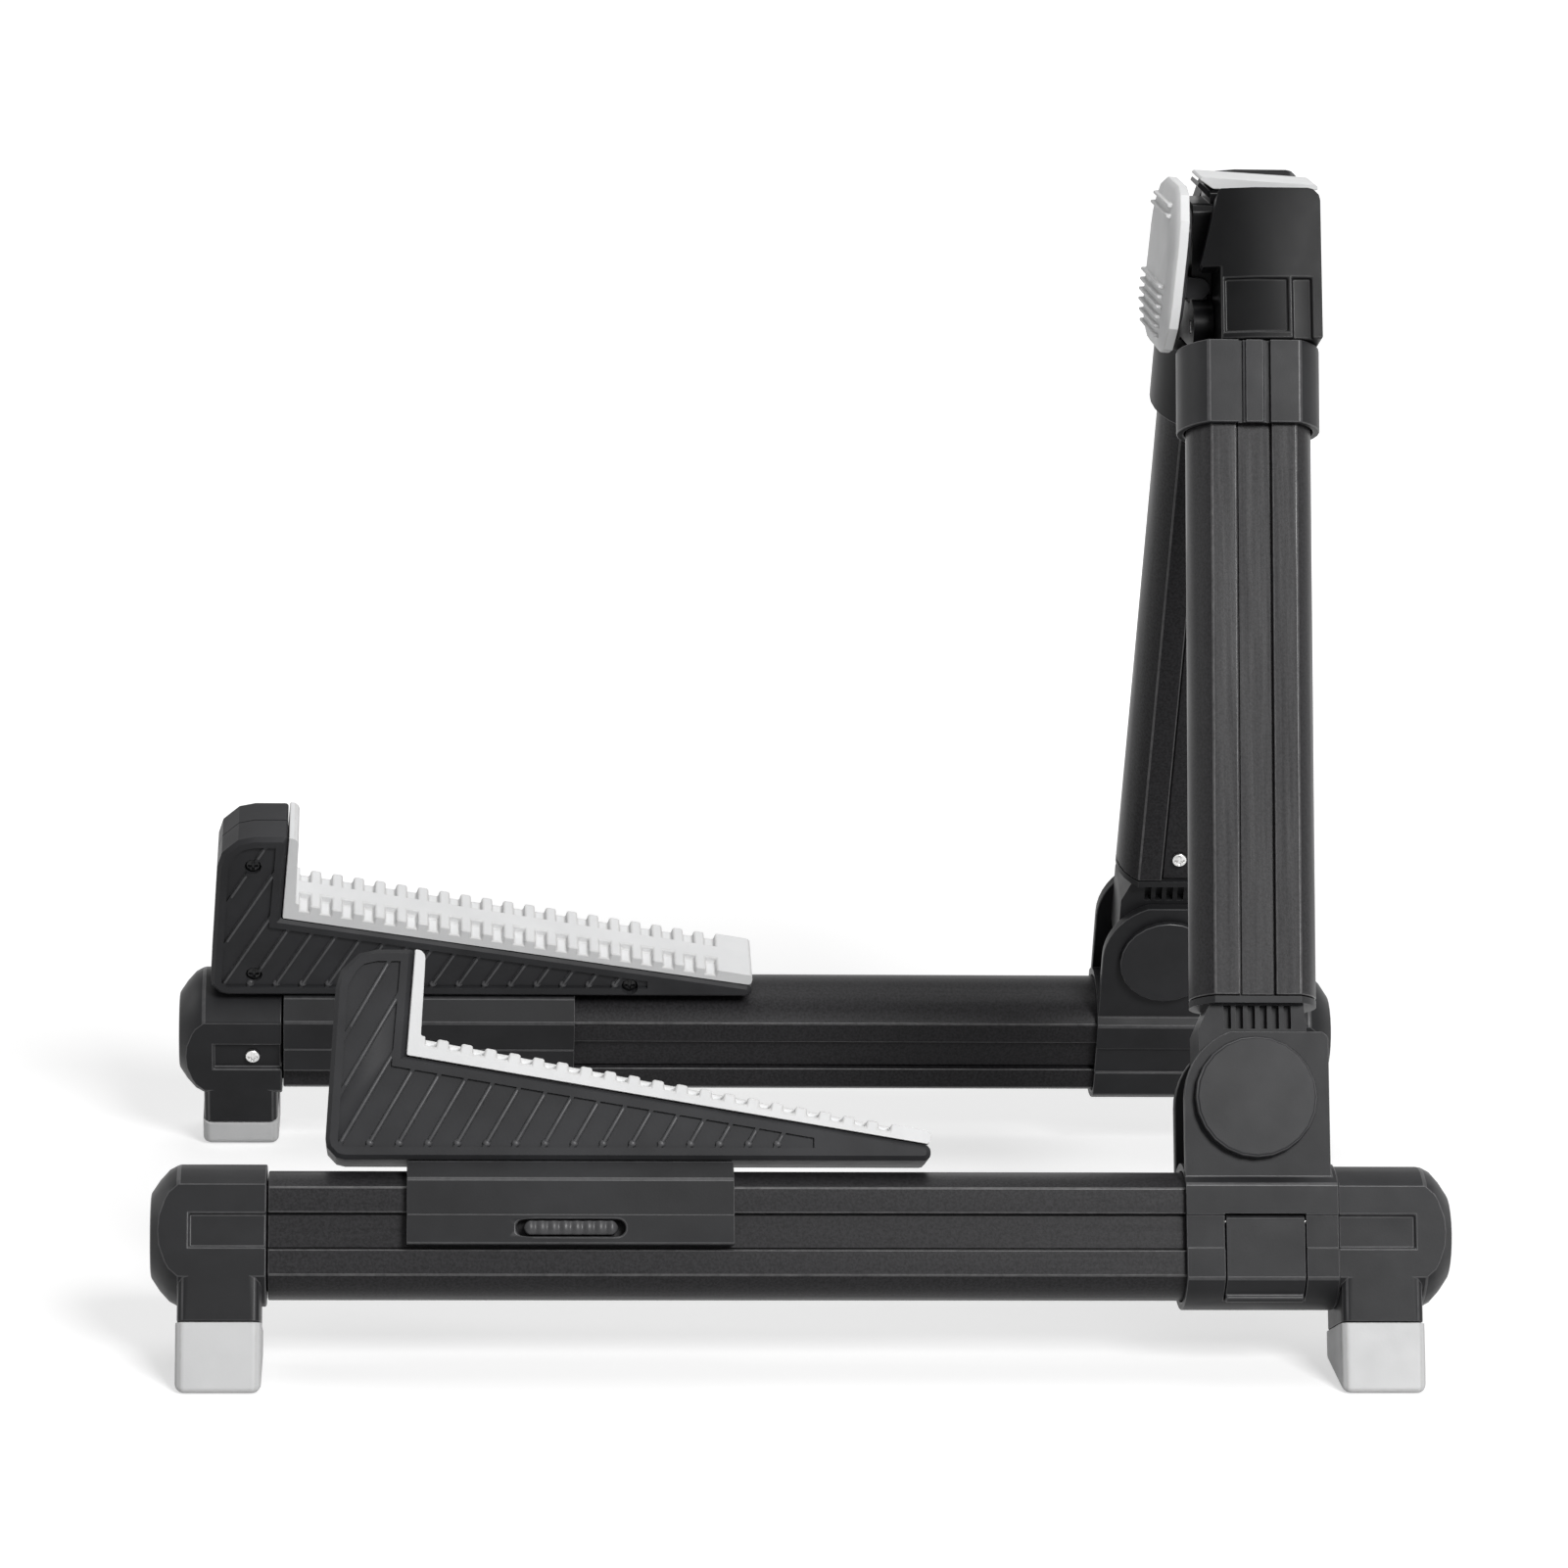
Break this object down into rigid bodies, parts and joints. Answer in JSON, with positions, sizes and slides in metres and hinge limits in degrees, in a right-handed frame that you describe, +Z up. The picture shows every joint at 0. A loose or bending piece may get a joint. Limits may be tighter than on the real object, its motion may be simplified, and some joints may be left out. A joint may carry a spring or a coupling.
{
  "type": "folding guitar stand",
  "caption": "Compact folding A-frame guitar stand: black tubes with flats, sliding hooked rests with pale rubber, and a ribbed back pad on a hinged head.",
  "frame": {"origin": "on the floor, in the middle of the four boots' overall footprint", "axes": "+Z up, +X along the base tubes from the hooks towards the uprights, +Y from the right leg to the left one"},
  "size_m": [0.3, 0.2472, 0.2668],
  "materials": {
    "anodised_tube": "satin black anodised, fine lengthwise grain",
    "black_plastic": "satin black moulding",
    "pale_rubber": "pale grey rubber",
    "silver_screw": "bright zinc plated",
    "steel_pin": "plain ground steel"
  },
  "bodies": {
    "head": {"head_yoke": "black_plastic", "head_top_pad": "pale_rubber", "rocker_pin": "steel_pin", "left_hinge_pin": "steel_pin", "right_hinge_pin": "steel_pin"},
    "pad": {"pad_carrier": "black_plastic", "back_pad": "pale_rubber"},
    "right_upright": {"right_upright_tube": "anodised_tube", "right_knuckle": "black_plastic", "right_knuckle_screw": "silver_screw", "right_collar": "black_plastic", "right_head_fitting": "black_plastic"},
    "right_base": {"right_base_tube": "anodised_tube", "right_bracket": "black_plastic", "right_pivot_pin": "steel_pin", "right_outer_pivot_disc": "black_plastic", "right_inner_pivot_disc": "black_plastic", "right_lever_pin": "steel_pin", "right_front_cap": "black_plastic", "right_rear_cap": "black_plastic", "right_front_boot": "pale_rubber", "right_rear_boot": "pale_rubber", "right_front_cap_screw": "silver_screw", "right_rear_cap_screw": "silver_screw"},
    "right_cradle": {"right_cradle_saddle": "black_plastic", "right_cradle_outer_shell": "black_plastic", "right_cradle_inner_shell": "black_plastic", "right_cradle_pad": "pale_rubber", "right_cradle_screw_top": "silver_screw", "right_cradle_screw_low": "silver_screw", "right_cradle_screw_tip": "silver_screw"},
    "right_lever": {"right_release_lever": "black_plastic"},
    "right_lock": {"right_cradle_lock": "black_plastic"},
    "left_upright": {"left_upright_tube": "anodised_tube", "left_knuckle": "black_plastic", "left_knuckle_screw": "silver_screw", "left_collar": "black_plastic", "left_head_fitting": "black_plastic"},
    "left_base": {"left_base_tube": "anodised_tube", "left_bracket": "black_plastic", "left_pivot_pin": "steel_pin", "left_outer_pivot_disc": "black_plastic", "left_inner_pivot_disc": "black_plastic", "left_lever_pin": "steel_pin", "left_front_cap": "black_plastic", "left_rear_cap": "black_plastic", "left_front_boot": "pale_rubber", "left_rear_boot": "pale_rubber", "left_front_cap_screw": "silver_screw", "left_rear_cap_screw": "silver_screw"},
    "left_cradle": {"left_cradle_saddle": "black_plastic", "left_cradle_outer_shell": "black_plastic", "left_cradle_inner_shell": "black_plastic", "left_cradle_pad": "pale_rubber", "left_cradle_screw_top": "silver_screw", "left_cradle_screw_low": "silver_screw", "left_cradle_screw_tip": "silver_screw"},
    "left_lever": {"left_release_lever": "black_plastic"},
    "left_lock": {"left_cradle_lock": "black_plastic"}
  },
  "joints": [
    {"name": "back_pad_rock", "type": "hinge", "parent": "head", "child": "pad", "pos_m": [0.0962, 0, 0.2407], "axis": [0, -1, 0], "range_deg": [0, 10]},
    {"name": "right_leg_close", "type": "hinge", "parent": "head", "child": "right_upright", "pos_m": [0.11, -0.01234, 0.2314], "axis": [1, 0, 0], "range_deg": [0, 21.5]},
    {"name": "right_base_fold", "type": "hinge", "parent": "right_upright", "child": "right_base", "pos_m": [0.1045, -0.0866, 0.05924], "axis": [0, 0.9304, -0.3665], "range_deg": [0, 69]},
    {"name": "right_cradle_slide", "type": "slide", "parent": "right_base", "child": "right_cradle", "axis": [-1, 0, 0], "range_m": [-0.057, 0.0315]},
    {"name": "right_lock_slide", "type": "slide", "parent": "right_cradle", "child": "right_lock", "axis": [1, 0, 0], "range_m": [-0.0015, 0.0015]},
    {"name": "right_lever_lift", "type": "hinge", "parent": "right_base", "child": "right_lever", "pos_m": [0.1062, -0.10773, 0.03671], "axis": [-1, 0, 0], "range_deg": [0, 30]},
    {"name": "left_leg_close", "type": "hinge", "parent": "head", "child": "left_upright", "pos_m": [0.11, 0.01234, 0.2314], "axis": [-1, 0, 0], "range_deg": [0, 21.5]},
    {"name": "left_base_fold", "type": "hinge", "parent": "left_upright", "child": "left_base", "pos_m": [0.1045, 0.0866, 0.05924], "axis": [0, 0.9304, 0.3665], "range_deg": [0, 69]},
    {"name": "left_cradle_slide", "type": "slide", "parent": "left_base", "child": "left_cradle", "axis": [-1, 0, 0], "range_m": [-0.0885, 0]},
    {"name": "left_lock_slide", "type": "slide", "parent": "left_cradle", "child": "left_lock", "axis": [1, 0, 0], "range_m": [-0.0015, 0.0015]},
    {"name": "left_lever_lift", "type": "hinge", "parent": "left_base", "child": "left_lever", "pos_m": [0.1062, 0.10773, 0.03671], "axis": [1, 0, 0], "range_deg": [0, 30]}
  ],
  "couplings": [
    {"joint": "left_leg_close", "follows": "right_leg_close", "ratio": 1}
  ]
}
